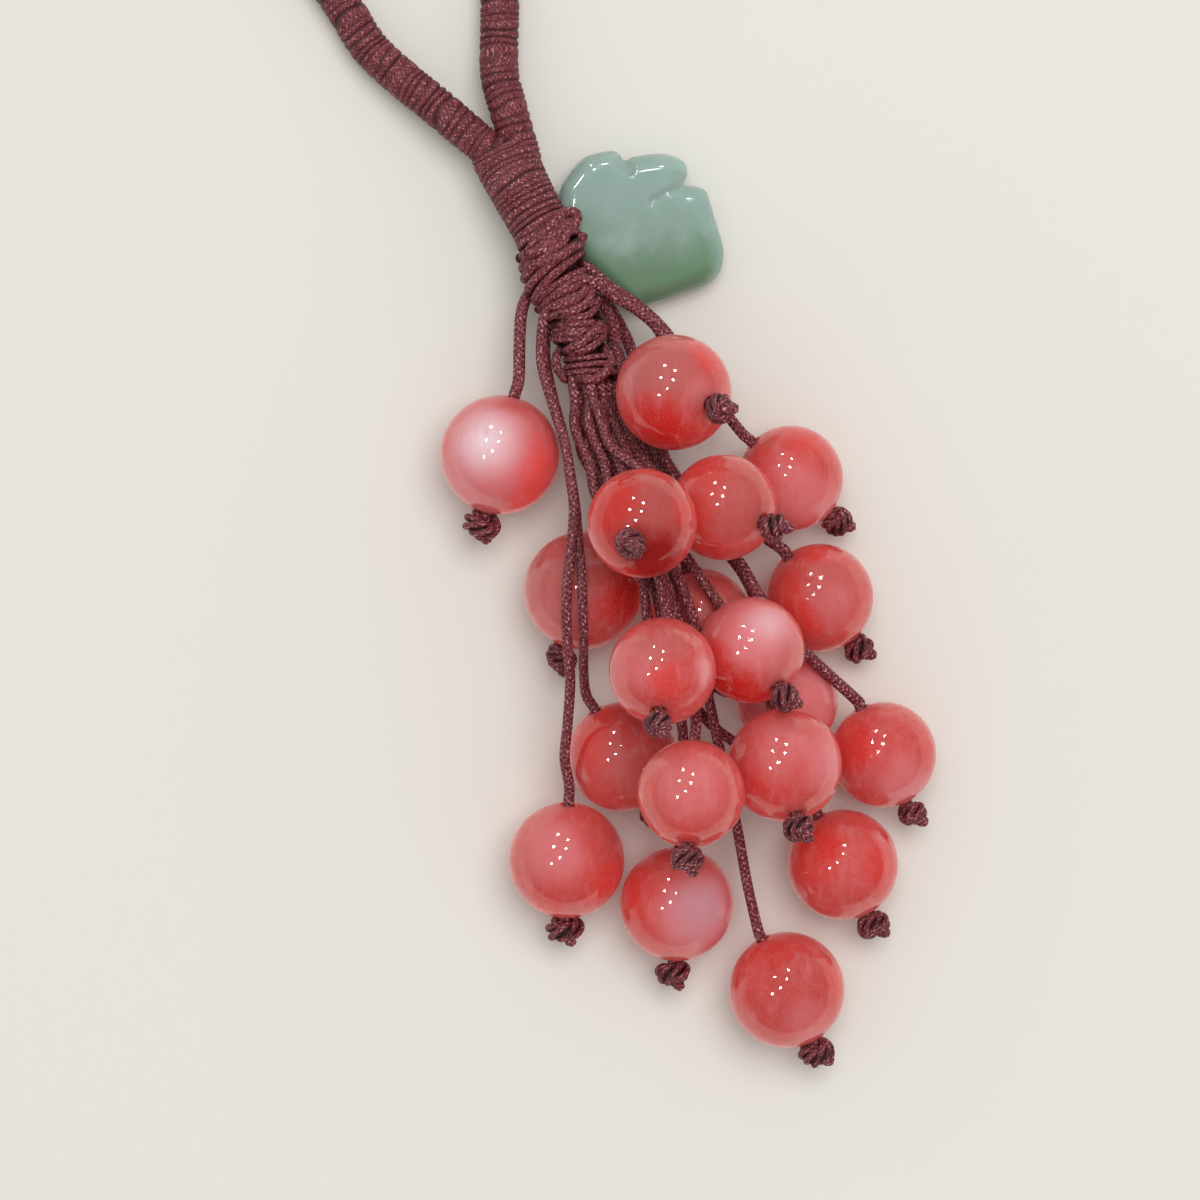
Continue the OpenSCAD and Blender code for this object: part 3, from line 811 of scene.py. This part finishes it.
# Each groove is a line of points, its depth and its width.
GROOVES = [
    [[[-6.7, 46.6], [-6.5, 45.6], [-6.1, 44.9]], 0.3, 0.45],
    [[[0.2, 43.8], [-1.2, 43.3], [-2.6, 42.6], [-3.8, 41.9]], 0.3, 0.4],
]


def soft_share(x, low, high):
    """0 at low and 1 at high, with a soft start and stop: s^2 (3 - 2s), where s is the straight share."""
    share = share_between(x, low, high)
    return share ** 2 * (3 - 2 * share)


def distance_to_line(points, line):
    """The shortest distance from each point to a line of straight stretches.

    Between a and b the nearest point is a + t (b - a), with t the share of the way, kept from 0 to 1.
    """
    line = np.asarray(line, float)
    a, b = line[:-1], line[1:]
    t = np.clip(((points[..., None, :] - a) * (b - a)).sum(-1) / ((b - a) ** 2).sum(-1), 0, 1)
    return np.linalg.norm(points[..., None, :] - (a + t[..., None] * (b - a)), axis=-1).min(-1)


def leaf_side(shares, up):
    """Rows of the leaf's top (up is 1) or bottom (up is -1): the outline drawn in to each of the shares.

    At the distance d from the edge, the side is half the thickness times sqrt(1 - (1 - d/round)^2) away
    from the middle of the thickness. Where the stem lies, the leaf is thinner and lifted.
    """
    flat = LEAF_MIDDLE + (outline - LEAF_MIDDLE)[None] * shares[:, None, None]
    edge = distance_to_line(flat, np.vstack([outline, outline[:1]]))
    away = np.sqrt(1 - (1 - np.clip(edge / LEAF_ROUND, 0, 1)) ** 2)
    thick = LEAF_T * (THINNEST + (1 - THINNEST) * soft_share(flat[..., 0], -16, -4))
    height = LEAF_LIFT * soft_share(flat[..., 0], -4, -15) + thick / 2 * (1 + up * away)
    if up > 0:
        for line, depth, width in GROOVES:
            height = height - away * depth * np.exp(-(distance_to_line(flat, line) / width) ** 2)
    return np.concatenate([flat, height[..., None]], axis=-1)


closed = [[*point, 0] for point in LEAF + LEAF[:1]]
outline = smooth_line(closed, LEAF_STEP, before=closed[-2], after=closed[1])[:-1, :2]
# The rows lie closest together at the rim, where the leaf curves most.
inwards = 1 - 0.98 * np.linspace(0, 1, LEAF_ROWS) ** 1.7
leaf_grid = np.concatenate([leaf_side(inwards[:0:-3], -1), leaf_side(inwards, 1)])
leaf_piece = make_piece("carved_leaf", [skin(leaf_grid)], "leaf")
print("leaf triangles:", triangles(leaf_piece))

# %% [markdown]
# A finish is arithmetic on where a point lies, or how far along the cord it is. Written as nodes, that is
# dozens of boxes. So one small class wraps a socket, and Python's own operators on it add the Math nodes.
# Colours are joined by Mix nodes, because a Math node turns them grey.

# %% Shader arithmetic


class Wire:
    """One output of a node. +, - and * on it add Math nodes, with numbers or other wires."""

    def __init__(self, socket):
        self.socket = socket

    def node(self, kind, settings=None, sockets=None, output=0):
        """Any other node: its type, its settings, then a value or a wire for each named socket."""
        made = self.socket.id_data.nodes.new(kind)
        for key, value in (settings or {}).items():
            setattr(made, key, value)
        fill(made, sockets or {})
        return Wire(made.outputs[output])

    def math(self, operation, *others):
        """A Math node of this wire and the others."""
        return self.node("ShaderNodeMath", {"operation": operation}, dict(enumerate((self, *others))))

    def vector(self, operation, other, output=0):
        """A Vector Math node of this wire and a vector."""
        return self.node("ShaderNodeVectorMath", {"operation": operation}, {0: self, 1: other}, output)

    def __add__(self, other):
        return self.math("ADD", other)

    __radd__ = __add__

    def __mul__(self, other):
        return self.math("MULTIPLY", other)

    __rmul__ = __mul__

    def __sub__(self, other):
        return self.math("SUBTRACT", other)

    def __rsub__(self, other):
        return (self * -1).math("ADD", other)


def fill(node, sockets):
    """Sets each named socket of a node to its value, or links its wire to it."""
    for key, value in sockets.items():
        if isinstance(value, Wire):
            node.id_data.links.new(value.socket, node.inputs[key])
        else:
            node.inputs[key].default_value = value


def mix(factor, one, two):
    """A colour between one and two."""
    wire = next(v for v in (factor, one, two) if isinstance(v, Wire))
    return wire.node("ShaderNodeMix", {"data_type": "RGBA"}, {0: factor, 6: one, 7: two}, 2)


def ease(value, low, high):
    """0 below low, 1 above high, with a soft start and stop."""
    return value.node("ShaderNodeMapRange", {"interpolation_type": "SMOOTHSTEP"},
                      {"Value": value, "From Min": low, "From Max": high})


def noise(place, scale, detail=2.0):
    """Soft noise of about `scale` lumps for each unit of place."""
    return place.node("ShaderNodeTexNoise", {}, {"Vector": place, "Scale": scale, "Detail": detail})


def parts(vector):
    """The x, y and z of a vector."""
    return [vector.node("ShaderNodeSeparateXYZ", {}, {0: vector}, k) for k in range(3)]


def bumps(height, strength, distance):
    """A normal that leans as a height does."""
    return height.node("ShaderNodeBump", {}, {"Height": height, "Strength": strength, "Distance": distance})


# %% Materials and colours


def rgb(red, green, blue):
    """A colour given as it looks on a screen, 0 to 255, in the linear values that shaders use.

    With v the share of 255, it is ((v + 0.055) / 1.055)^2.4, or v / 12.92 where v is very small.
    """
    share = np.array([red, green, blue]) / 255
    linear = np.where(share <= 0.04045, share / 12.92, ((share + 0.055) / 1.055) ** 2.4)
    return (*linear.tolist(), 1.0)


def new_finish(name, coordinates):
    """A material, its Principled shader, and a wire of one of its Texture Coordinate outputs."""
    material = bpy.data.materials.new(name)
    material.use_nodes = True
    nodes = material.node_tree.nodes
    place = Wire(nodes.new("ShaderNodeTexCoord").outputs[coordinates])
    return material, nodes["Principled BSDF"], place


print("a middle grey in shader values:", [round(v, 3) for v in rgb(128, 128, 128)])

# %% [markdown]
# Every cord is the same thread, dark wine red. Its finish paints highlights as pale flecks where a strand
# of the braid comes up, and paints shade low in the braid and in the folds. An image of a weave would
# stretch on the bends, so the finish draws the same two families of bumps as the skin. Round a whipped
# cord, the count of turns is the place across the thread, and the way round is the length along it.

# %% Thread finishes
# The first colour is painted shade, for the folds and the low parts of the braid. The last is a painted
# highlight on the crests of its strands.
PAINTED_SHADE = rgb(46, 8, 16)
WINE = rgb(124, 39, 48)
ROSE = rgb(160, 82, 91)
PAINTED_HIGHLIGHT = rgb(222, 168, 172)


def braid_wire(along, p):
    """The braid's height as sockets: along in millimetres, p is columns times the angle."""
    q = along * (2 * math.pi / PITCH)
    one = ((p + q).math("COSINE") + 1) * (p.math("COSINE") + 1)
    other = ((p - q).math("COSINE") + 1) * (1 - p.math("COSINE"))
    return (one.math("MAXIMUM", other) * 0.25).math("SQRT")


def thread_finish(name, round_mm=None, pale=1.0, weave=0.7):
    """A braided thread, or with round_mm a whipping of it round a cord of that many millimetres round.

    pale is how bright its painted highlights are, and weave is how clearly the braid shows.
    """
    material, shader, place = new_finish(name, "UV")
    u, v, _ = parts(place)
    out = place.node("ShaderNodeAttribute", {"attribute_name": "out"}, {}, 2)
    if round_mm is None:
        along, p = u, v * (2 * math.pi * COLUMNS)
        spot = {0: u * 2.6, 1: v * 13.0}
    else:
        turns = u - v
        along = v * round_mm + turns.math("FLOOR") * 0.37
        p = turns.math("FRACT") * (math.pi * 4)
        spot = {0: turns * 2.4, 1: along * 3.2}
    spot = place.node("ShaderNodeCombineXYZ", {}, spot)
    speckle = noise(spot, 1.0, 1.0) - 0.5
    fibre = noise(spot, 5.0) - 0.5
    patchy = noise(spot, 0.12) - 0.5
    height = braid_wire(along + speckle * 0.7, p + fibre * 1.5) * weave + (1 - weave) * 0.7
    height = height * out.math("POWER", 0.5)
    # Painted light: lit marks the crests, where pale highlights are painted, and body paints shade low in
    # the braid. rosy paints raised parts lighter, mixed with a random tone.
    lit = ease(height * 0.8 + speckle * 2.6 + fibre * 1.4, 0.78, 1.15)
    body = mix(ease(height + speckle * 0.9 + fibre * 1.2, 0.24, 0.84), PAINTED_SHADE, WINE)
    rosy = mix(ease(height + patchy * 0.9 + fibre * 1.2, 0.5, 1.1) * 0.6, body, ROSE)
    shown = mix(lit * ease(out, 0.35, 1.0) * 0.85 * pale, rosy, PAINTED_HIGHLIGHT)
    # In the folds, where out is low, the colour turns to painted shade.
    fill(shader, {
        "Base Color": mix(ease(out, 0.0, 0.75), PAINTED_SHADE, shown), "Roughness": 0.6,
        "Sheen Weight": 0.1, "Sheen Tint": ROSE,
        "Normal": bumps(height + speckle * 0.8 + fibre * 0.3, 0.8, 0.08 * MM),
    })
    return material


braid_finish = thread_finish("braided_thread")
for piece in thread_pieces + [leaf_tie]:
    piece.data.materials.append(braid_finish)
loop_piece.data.materials.append(thread_finish("whipped_cord", math.pi * LOOP_D, pale=0.6, weave=0.6))
wrap_piece.data.materials.append(thread_finish("whipped_stem", math.pi * WRAP_D, pale=0.95, weave=0.55))
knot_piece.data.materials.append(thread_finish("knotted_thread", pale=0.85, weave=0.55))
print("nodes in the thread's finish:", len(braid_finish.node_tree.nodes))

# %% [markdown]
# The beads are cloudy stone: coral red with milky pink clouds and places of deep, clear red. Some places
# are painted light and shade: a dim veil of reflection and a soft sheen high on a bead, painted shade, and
# deep and bright red low down, where light that came through the stone gathers. No two are alike, so one
# noise for all won't do, and each bead has its own list of places. The distance to a place tells how much
# of its colour shows, and noise added to that distance frays the edge.

# %% Stones
CORAL = rgb(200, 74, 68)
STONES = {
    # painted reflection: a dim veil where the polish mirrors the room
    "painted_veil": rgb(188, 96, 94),
    "milky": rgb(220, 134, 140),
    # painted highlight: a soft pale sheen
    "painted_sheen": rgb(236, 214, 221),
    "lilac": rgb(200, 146, 156),
    "red": rgb(214, 60, 52),
    # painted light: red that glows where light came through the stone
    "bright": rgb(244, 86, 82),
    # painted shade
    "shade": rgb(166, 68, 64),
    # the stone's deep red, and painted light where it is placed low on a bead, where light through it
    # gathers
    "deep": rgb(202, 34, 24),
    # painted shade, low on a bead
    "dark": rgb(150, 18, 12),
}
# For each bead its places: the colour, how far right and up of its middle in shares of its radius, how
# wide, and how strong.
PLACES = [
    [["milky", -0.3, 0, 1.2, 0.85], ["bright", 0.8, -0.4, 0.75, 0.85], ["bright", 0.5, -0.8, 0.5, 0.7],
     ["red", -0.95, 0.2, 0.35, 0.6], ["painted_sheen", -0.25, 0.22, 0.72, 0.95]],
    [["painted_veil", -0.3, 0.3, 1, 1], ["deep", -0.3, -0.7, 0.8, 0.9], ["red", 0.6, 0.6, 0.45, 0.8],
     ["milky", 0.5, 0, 0.35, 0.35]],
    [["milky", -0.1, -0.3, 0.9, 0.45], ["red", 0.2, 0.75, 0.6, 0.7], ["red", -0.7, 0.1, 0.4, 0.4],
     ["milky", 0.5, -0.5, 0.5, 0.4]],
    [["painted_veil", 0, 0.15, 1, 0.5], ["shade", 0.1, 0.1, 1.1, 0.6], ["deep", -0.65, 0.3, 0.75, 0.9],
     ["red", 0.8, 0.2, 0.4, 0.5], ["deep", -0.2, -0.8, 0.7, 0.9], ["dark", 0.2, -0.7, 0.75, 1]],
    [["painted_veil", 0.2, 0.1, 0.9, 0.6], ["shade", 0.1, 0.1, 1, 0.2], ["red", -0.4, 0.6, 0.6, 0.6],
     ["red", -0.6, -0.2, 0.5, 0.5], ["deep", -0.4, -0.8, 0.5, 0.6]],
    [["painted_veil", 0.1, 0.2, 0.8, 0.6], ["red", -0.7, 0.1, 0.5, 0.6], ["red", -0.5, -0.5, 0.65, 0.8],
     ["red", 0, 0.85, 0.4, 0.5], ["milky", 0.3, -0.1, 0.5, 0.3]],
    [["painted_veil", -0.45, 0.3, 1, 0.9], ["deep", 0.75, -0.15, 0.6, 0.9], ["milky", -0.3, -0.4, 0.5, 0.3]],
    [["painted_veil", 0, 0.2, 0.9, 0.6]],
    [["milky", 0.1, 0.35, 1.1, 0.75], ["painted_veil", 0.65, -0.1, 0.6, 0.4], ["red", -0.75, -0.1, 0.45, 0.8],
     ["deep", -0.25, -0.85, 0.75, 1], ["painted_sheen", 0.3, 0.5, 0.55, 0.5]],
    [["milky", -0.5, 0.1, 0.6, 0.4], ["painted_veil", 0, 0.6, 0.6, 0.6], ["red", 0.1, -0.2, 0.4, 0.7],
     ["milky", 0.75, 0, 0.36, 0.85], ["deep", -0.1, -0.9, 0.45, 0.5]],
    [["milky", 0.2, 0, 1.2, 0.6], ["red", -0.1, 0.8, 0.5, 0.7]],
    [["red", -0.6, 0.2, 0.6, 0.8], ["milky", 0.35, -0.45, 0.6, 0.55], ["red", 0.85, 0.1, 0.35, 0.5]],
    [["milky", 0.7, 0.1, 0.55, 0.7], ["red", -0.5, -0.6, 0.6, 0.6], ["milky", -0.1, 0.4, 0.7, 0.35]],
    [["red", -0.6, 0.4, 0.8, 0.8], ["painted_veil", 0.1, -0.1, 0.6, 0.7]],
    [["milky", -0.1, 0.2, 0.9, 0.45], ["red", -0.3, -0.8, 0.5, 0.6], ["red", -0.8, 0.1, 0.35, 0.5]],
    [["red", -0.6, 0.2, 0.8, 0.9], ["milky", 0.05, -0.1, 0.4, 0.15], ["red", 0.7, 0.1, 0.6, 0.6]],
    [["milky", -0.25, 0.25, 0.75, 0.6], ["red", 0.7, -0.4, 0.6, 0.8], ["red", -0.3, -0.85, 0.5, 0.5]],
    [["red", -0.6, 0.2, 0.8, 0.8], ["milky", 0.35, -0.2, 0.9, 0.7], ["lilac", 0.45, 0, 0.82, 0.95],
     ["red", 0.1, 0.85, 0.4, 0.5]],
    [["red", -0.5, 0.5, 0.85, 0.5], ["shade", 0.1, 0.1, 0.8, 0.3], ["milky", 0.3, -0.55, 0.5, 0.4],
     ["red", 0.85, 0.2, 0.4, 0.5]],
]
# How scratched the polish of these beads is: on them the lamps show as broken sparks.
WORN = {2: 0.02, 4: 0.06, 5: 0.12, 8: 0.12, 10: 0.1, 11: 0.1, 12: 0.08, 14: 0.08, 17: 0.06, 18: 0.04}
WORN_OTHERS = 0.01
# How clearly the milky streaks and grains show. The two darkest beads are also the clearest.
CLOUDY = {3: 0.3, 4: 0.6}
print("places of colour:", sum(len(places) for places in PLACES))

# %% Bead finishes


def bead_finish(number):
    """Polished cloudy stone. A place seen at (x, y) on a ball of radius 1 is sqrt(1 - x^2 - y^2) up."""
    material, shader, place = new_finish("cloudy_stone_%02d" % (number + 1), "Object")
    bead, cloudy = BEADS[number], CLOUDY.get(number, 1.0)
    ball = place.vector("SUBTRACT", [x * MM for x in bead[:3]])
    ball = ball.vector("MULTIPLY", [2 / (BEAD_D * bead[3] * MM)] * 3)
    shifted = ball.vector("ADD", (bead[0], bead[1], 3.0))
    fine = noise(shifted, 6.0, 3.0)
    ragged = (noise(shifted, 1.5, 3.0) - 0.5) * 0.7 + (fine - 0.5) * 0.2
    colour = mix(ease(fine, 0.3, 0.8) * 0.25, CORAL, STONES["milky"])
    for stone, x, y, wide, strong in PLACES[number]:
        soft = 1.0 if stone in ("painted_sheen", "lilac") else 0.4
        up = math.sqrt(max(0.0, 1 - x * x - y * y))
        away = ball.vector("DISTANCE", (x, y, up), 1) + ragged * (1.2 - soft)
        colour = mix(ease(away, wide * 1.2, wide * (0.6 - 0.6 * soft)) * strong, colour, STONES[stone])
    streaks = noise(shifted.vector("MULTIPLY", (3.6, 0.9, 2.0)), 1.6, 4.0)
    colour = mix(ease(streaks, 0.5, 0.75) * (0.32 * cloudy), colour, STONES["milky"])
    colour = mix(ease(noise(shifted, 30.0), 0.5, 0.75) * (0.28 * cloudy), colour, STONES["milky"])
    # Painted light: an emission low on the stone stands in for light that went in at the top and comes out
    # there.
    glow = mix(ease(parts(ball)[2], 0.85, 0.1), (0.0, 0.0, 0.0, 1.0), colour)
    fill(shader, {
        "Base Color": colour, "Emission Color": glow, "Emission Strength": 0.16,
        "Roughness": 0.025 + fine * 0.02, "IOR": 1.56, "Coat Weight": 0.25, "Coat Roughness": 0.02,
        "Subsurface Weight": 0.85, "Subsurface Radius": (1.0, 0.22, 0.18), "Subsurface Scale": 4.0 * MM,
        "Normal": bumps(noise(shifted, 45.0), WORN.get(number, WORN_OTHERS), 0.05 * MM),
    })
    return material


for number, piece in enumerate(bead_pieces):
    piece.data.materials.append(bead_finish(number))
print("nodes in the first bead's finish:", len(bead_pieces[0].data.materials[0].node_tree.nodes))

# %% [markdown]
# The leaf's stone is bluish at the top and green below, with faint pale clouds. Glass would be too clear:
# light goes a little way in and comes out again, which the shader's subsurface part does.

# %% Leaf finish
JADE_BLUE = rgb(151, 175, 167)
JADE_GREEN = rgb(108, 139, 110)
JADE_MIST = rgb(168, 188, 182)
jade, jade_shader, place = new_finish("carved_jade", "Object")
x, y, _ = parts(place)
mist = noise(place, 220.0, 3.0)
# The right end is bluish again, low down too.
right = ease(x + (mist - 0.5) * 0.003, 1.0 * MM, 3.6 * MM)
low = ease(y + (mist - 0.5) * 0.008, 42.5 * MM, 32.5 * MM) * (1 - right * 0.6)
fill(jade_shader, {
    "Base Color": mix(ease(mist, 0.5, 0.75) * 0.45, mix(low, JADE_BLUE, JADE_GREEN), JADE_MIST),
    "Roughness": 0.07 + noise(place, 700.0, 3.0) * 0.06, "IOR": 1.6,
    "Subsurface Weight": 0.8, "Subsurface Radius": (0.6, 1.0, 0.8), "Subsurface Scale": 2.0 * MM,
})
leaf_piece.data.materials.append(jade)
print("nodes in the leaf's finish:", len(jade.node_tree.nodes))

# %% [markdown]
# The floor is a plain pale sheet. The light is soft and comes from everywhere, as in a bright room. Six
# small ceiling lamps show as dots on every bead. A dot sits where the surface faces half-way between the
# camera and the lamp, so each lamp's direction follows from where its dot is on a bead.

# %% Floor
FLOOR_HALF = 1.5
floor_mesh = bpy.data.meshes.new("floor")
corners = [(x * FLOOR_HALF, y * FLOOR_HALF, 0) for x, y in ((-1, -1), (1, -1), (1, 1), (-1, 1))]
floor_mesh.from_pydata(corners, [], [(0, 1, 2, 3)])
add_object("floor", floor_mesh)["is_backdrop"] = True
floor_finish, floor_shader, _ = new_finish("pale_sheet", "Object")
fill(floor_shader, {"Base Color": rgb(228, 226, 220), "Roughness": 0.9})
floor_mesh.materials.append(floor_finish)
print("floor in m:", 2 * FLOOR_HALF)

# %% Room light
world = bpy.data.worlds.new("room")
bpy.context.scene.world = world
world.use_nodes = True
room = world.node_tree.nodes
sky = Wire(room.new("ShaderNodeTexCoord").outputs["Generated"])
reflected = Wire(room.new("ShaderNodeLightPath").outputs["Is Glossy Ray"])
towards_window = sky.vector("DOT_PRODUCT", unit([-0.25, 0.75, 0.6]).tolist(), 1)
EVEN_LIGHT = 0.55
mirrored = 0.1 + ease(towards_window, -0.4, 1.0) * 0.38
fill(room["Background"], {"Color": (1.0, 1.0, 0.985, 1.0),
                          "Strength": EVEN_LIGHT + reflected * (mirrored - EVEN_LIGHT)})
bpy.context.scene.view_settings.view_transform = "Standard"
print("room light:", EVEN_LIGHT)

# %% Lamps
LAMP_AWAY = 1.6
LAMP_RADIUS = 0.062
# Where each lamp's dot lies on a bead, as shares of its radius to the right and up.
DOTS = [[-0.155, 0.448], [0.017, 0.362], [-0.224, 0.241], [-0.017, 0.207], [-0.12, 0.052], [-0.259, -0.052]]
LAMP_WATTS = [8, 10, 10, 10, 8, 7]


def lamp_direction(x, y):
    """The light's direction whose dot faces (x, y, z): twice z times that normal, minus straight up."""
    z = math.sqrt(1 - x * x - y * y)
    return np.array([2 * z * x, 2 * z * y, 2 * z * z - 1])


def add_light(name, kind, position, watts):
    """A light of a kind, at a place."""
    light = add_object(name, bpy.data.lights.new(name, kind))
    light.data.energy = watts
    light.location = position
    return light


for number, (dot, watts) in enumerate(zip(DOTS, LAMP_WATTS)):
    lamp = add_light("lamp_%d" % (number + 1), "POINT", lamp_direction(*dot) * LAMP_AWAY, watts)
    lamp.data.shadow_soft_size = LAMP_RADIUS
    lamp.visible_diffuse = False

softbox = add_light("softbox", "AREA", (0.2, 0.33, 1.47), 13.2)
softbox.data.shape = "DISK"
softbox.data.size = 1.1
softbox.data.color = (1.0, 0.99, 0.97)
softbox.rotation_euler = (math.radians(-12.65), math.radians(7.75), 0)
softbox.visible_glossy = False
print("lamps:", len(DOTS), "and a softbox of", softbox.data.energy, "watts")

# %% Sizes of what is drawn
low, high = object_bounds()
print("visual size in mm:", [round((h - l) / MM, 1) for l, h in zip(low, high)])
